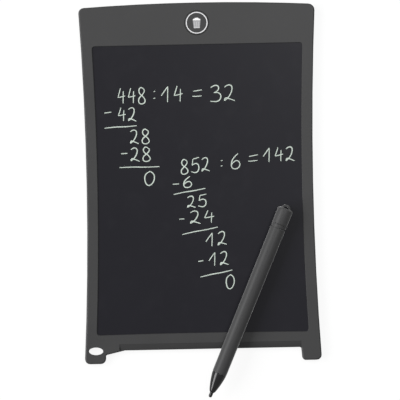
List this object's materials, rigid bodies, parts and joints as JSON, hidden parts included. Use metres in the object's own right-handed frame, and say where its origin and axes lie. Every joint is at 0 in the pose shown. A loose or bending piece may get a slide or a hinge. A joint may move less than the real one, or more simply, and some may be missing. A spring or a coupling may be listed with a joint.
{
  "type": "lcd writing tablet",
  "caption": "Slim pressure-sensitive writing tablet with waisted sides, arched top, two feet with a pen bay between them, a round erase button, and its stylus lying across the film.",
  "frame": {"origin": "centre of the flat back face, half way between the arched top edge and the base of the feet", "axes": "+X to the reader's right, +Y towards the arched top edge, +Z out of the film"},
  "size_m": [0.1464, 0.2442, 0.0146],
  "materials": {
    "bezel": "fine satin spark-eroded texture, dark grey",
    "back": "fine matt texture, dark grey",
    "film": "smooth satin film, almost black with a faint blue tint",
    "absorber": "matt black sheet",
    "tape": "thin black adhesive tape",
    "plate": "plain moulded sheet",
    "flex": "amber polyimide",
    "board": "green solder mask",
    "component": "black moulded resin",
    "ceramic": "tan ceramic",
    "steel": "nickel-plated steel",
    "stylus": "satin dark grey",
    "stylus_tip": "polished black"
  },
  "bodies": {
    "tablet": {"front_shell": "bezel", "back_shell": "back", "film_tape_frame": "tape", "writing_film": "film", "absorber_sheet": "absorber", "backing_plate": "plate", "flex_tail": "flex", "switch_housing": "component", "circuit_board": "board", "driver_chip": "component", "boost_coil": "component", "capacitor_1": "ceramic", "capacitor_2": "ceramic", "capacitor_3": "ceramic", "lock_switch": "component", "coin_cell": "steel", "contact_positive": "steel", "contact_negative": "steel", "board_screw_1": "steel", "board_screw_2": "steel"},
    "erase_button": {"erase_button": "bezel", "switch_plunger": "steel"},
    "lock_slider": {"lock_slider": "component"},
    "battery_hatch": {"battery_hatch": "back", "hatch_screw": "steel"},
    "stylus": {"stylus_nib": "stylus_tip", "stylus_cone": "stylus_tip", "stylus_barrel": "stylus", "stylus_cap": "stylus"}
  },
  "joints": [
    {"name": "erase_button_press", "type": "slide", "parent": "tablet", "child": "erase_button", "axis": [0, 0, -1], "range_m": [0, 0.0004], "stiffness_N_per_m": 2500, "springref_m": -0.0002},
    {"name": "lock_slide", "type": "slide", "parent": "tablet", "child": "lock_slider", "axis": [1, 0, 0], "range_m": [0, 0.003]},
    {"name": "battery_hatch_lift", "type": "slide", "parent": "tablet", "child": "battery_hatch", "axis": [0, 0, -1], "range_m": [0, 0.012]},
    {"name": "stylus_lift", "type": "slide", "parent": "tablet", "child": "stylus", "axis": [0, 0, 1], "range_m": [0, 0.03]}
  ]
}
